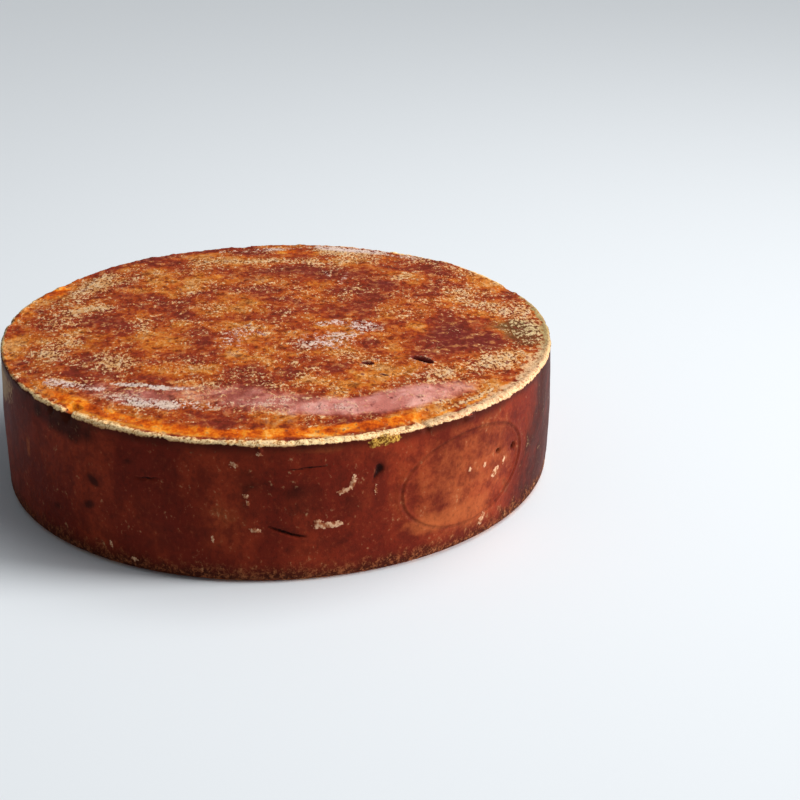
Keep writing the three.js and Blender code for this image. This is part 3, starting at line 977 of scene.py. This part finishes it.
# Painted shade under the rim's lip: full for a few millimetres below it, gone by about ten.
under = (0.075 - down + (mottle - 0.5) * 0.10 + (grain - 0.5) * 0.08).step(-0.02, 0.05)
colour = heel.lay(colour, SHADE_UNDER_THE_RIM, under * 0.72)
bare = rubbed_bare(rubbed, broad, mottle, grain)
crest = bare_curd(heel, rubbed, grain, speck, mottle, HEEL_CREST_EDGE, 0.35, 0.7)
colour = heel.lay(colour, crest, bare)
colour = lay_knobs(heel, colour, grain, speck)
rough = mottle * 0.5 + grain * 0.22 + bare * 0.15
heel.dress({
    "Base Color": colour,
    "Roughness": HEEL_DULLNESS + 0.2 * bare + 0.2 * foot + 0.2 * crumb,
    "Normal": heel.relief(rough, HEEL_RELIEF, HEEL_RELIEF_DEPTH),
    "Specular IOR Level": HEEL_SHEEN,
})


# ---- The finished wheel ----
# One rind runs over the whole wheel.  The heel's finish covers its side up to the rim,
# and the washed face's finish covers the top and the resting face.

SIDEWAYS_LIMIT = 0.72
SIDE_DEPTH = 0.008
FOOT_LIMIT = 0.004
RIM_LIMIT = 0.008
wheel.data.materials.append(face.material)
wheel.data.materials.append(heel.material)
middles = np.empty(len(wheel.data.polygons) * 3)
normals = np.empty(len(wheel.data.polygons) * 3)
wheel.data.polygons.foreach_get("center", middles)
wheel.data.polygons.foreach_get("normal", normals)
across, deep, up = middles.reshape(-1, 3).T
facing_up = normals.reshape(-1, 3)[:, 2]
sideways = (np.abs(facing_up) < SIDEWAYS_LIMIT) & (np.hypot(across, deep) > HOOP_RADIUS - SIDE_DEPTH)
sideways |= (up > FOOT_LIMIT) & (up < RIM_HEIGHT - RIM_LIMIT)
wheel.data.polygons.foreach_set("material_index", sideways.astype(int))

# The rind is laid out flat for its baked finish: the top face, the resting face, and the
# heel as two long strips, each with its own place in the square.
TOP_SPOT = (0.33, 0.67)
TOP_SCALE = 1.56
RESTING_SPOT = (0.82, 0.82)
RESTING_SCALE = 0.78
STRIP_LENGTH = 0.985
STRIP_SCALE = 1.55
FRONT_STRIP = 0.180
BACK_STRIP = 0.008
corners = np.empty(len(wheel.data.loops), int)
wheel.data.loops.foreach_get("vertex_index", corners)
owner = np.repeat(np.arange(len(up)), [len(polygon.vertices) for polygon in wheel.data.polygons])
at = places(wheel)[corners]
middle_turn = np.degrees(np.arctan2(deep, across))[owner]
corner_turn = np.degrees(np.arctan2(at[:, 1], at[:, 0]))
corner_turn = middle_turn + (corner_turn - middle_turn + 180) % 360 - 180
front = middle_turn < 0
along = (corner_turn + np.where(front, 180, 0)) / 180 * STRIP_LENGTH + (1 - STRIP_LENGTH) / 2
rise = at[:, 2] * STRIP_SCALE + np.where(front, FRONT_STRIP, BACK_STRIP)
flat = np.stack([along, rise], axis=1)
on_the_top = (facing_up > 0)[owner] & ~sideways[owner]
on_the_rest = (facing_up < 0)[owner] & ~sideways[owner]
flat[on_the_top] = at[on_the_top, :2] * TOP_SCALE + TOP_SPOT
flat[on_the_rest] = at[on_the_rest, :2] * RESTING_SCALE + RESTING_SPOT
layer = wheel.data.uv_layers.new(name="OFBake")
layer.data.foreach_set("uv", flat.ravel())

bpy.ops.object.shade_smooth()
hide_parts("cheese_wheel")
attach(wheel, "root")


# ---- The camera ----
# A camera on a stand, a little over a metre in front of the wheel and above it, which
# looks down over the near rim with the wheel to the left of its view.

CAMERA_BACK = 1.3056
CAMERA_UP = 0.6005
CAMERA_YAW = 3.929
CAMERA_PITCH = 23.06
CAMERA_ROLL = 0.12
SENSOR_WIDTH = 36
LENS = 85.5

camera_data = bpy.data.cameras.new("camera")
camera_data.sensor_width = SENSOR_WIDTH
camera_data.lens = LENS
camera = bpy.data.objects.new("camera", camera_data)
bpy.context.scene.collection.objects.link(camera)
look = (
    Matrix.Rotation(math.radians(-CAMERA_YAW), 4, "Z")
    @ Matrix.Rotation(math.radians(90 - CAMERA_PITCH), 4, "X")
    @ Matrix.Rotation(math.radians(-CAMERA_ROLL), 4, "Z")
)
camera.matrix_world = Matrix.Translation((0, -CAMERA_BACK, CAMERA_UP)) @ look
bpy.context.scene.camera = camera


# ---- The floor ----
# A wide sheet of pale, cool grey card under the wheel.  It is matt, so it takes the
# wheel's soft shadow and shows no gloss.

FLOOR_WIDTH = 12
PALE_CARD = tone(226, 230, 233)
CARD_DULLNESS = 0.7
CARD_SHEEN = 0.2

bpy.ops.mesh.primitive_plane_add(size=FLOOR_WIDTH, location=(0, 0, 0))
floor = bpy.context.object
floor.name = "floor"
card = Finish("floor_card")
card.dress({"Base Color": PALE_CARD, "Roughness": CARD_DULLNESS, "Specular IOR Level": CARD_SHEEN})
floor.data.materials.append(card.material)


# ---- The lights ----
# A broad window on the right gives most of the light and throws the shadow to the left.
# A soft box overhead fills the top face in, and the pale room fills the shadows.

OVERHEAD_PLACE = (0.70, 0.00, 1.40)
OVERHEAD_AIM = (0.15, 0, 0)
OVERHEAD_SIZE = (1.3, 1.0)
OVERHEAD_WATTS = 16
WINDOW_STRENGTH = 4.7
WINDOW_SPREAD = 22
WINDOW_DIRECTION = (-3.0, 0.4, -0.95)
ROOM_COLOUR = (0.8, 0.85, 0.9, 1)
ROOM_STRENGTH = 0.22


def hang(name, light, place, towards):
    """Hangs a light at a place, turned along a direction."""
    fitting = bpy.data.objects.new(name, light)
    bpy.context.scene.collection.objects.link(fitting)
    fitting.location = place
    fitting.rotation_euler = Vector(towards).to_track_quat("-Z", "Y").to_euler()


overhead = bpy.data.lights.new("overhead", "AREA")
overhead.shape = "RECTANGLE"
overhead.size, overhead.size_y = OVERHEAD_SIZE
overhead.energy = OVERHEAD_WATTS
hang("overhead", overhead, OVERHEAD_PLACE, Vector(OVERHEAD_AIM) - Vector(OVERHEAD_PLACE))
window = bpy.data.lights.new("side_window", "SUN")
window.energy = WINDOW_STRENGTH
window.angle = math.radians(WINDOW_SPREAD)
hang("side_window", window, (0, 0, 0), WINDOW_DIRECTION)
world = bpy.data.worlds.new("world")
bpy.context.scene.world = world
world.use_nodes = True
room = world.node_tree.nodes["Background"]
room.inputs["Color"].default_value = ROOM_COLOUR
room.inputs["Strength"].default_value = ROOM_STRENGTH
bpy.context.scene.view_settings.view_transform = "Standard"
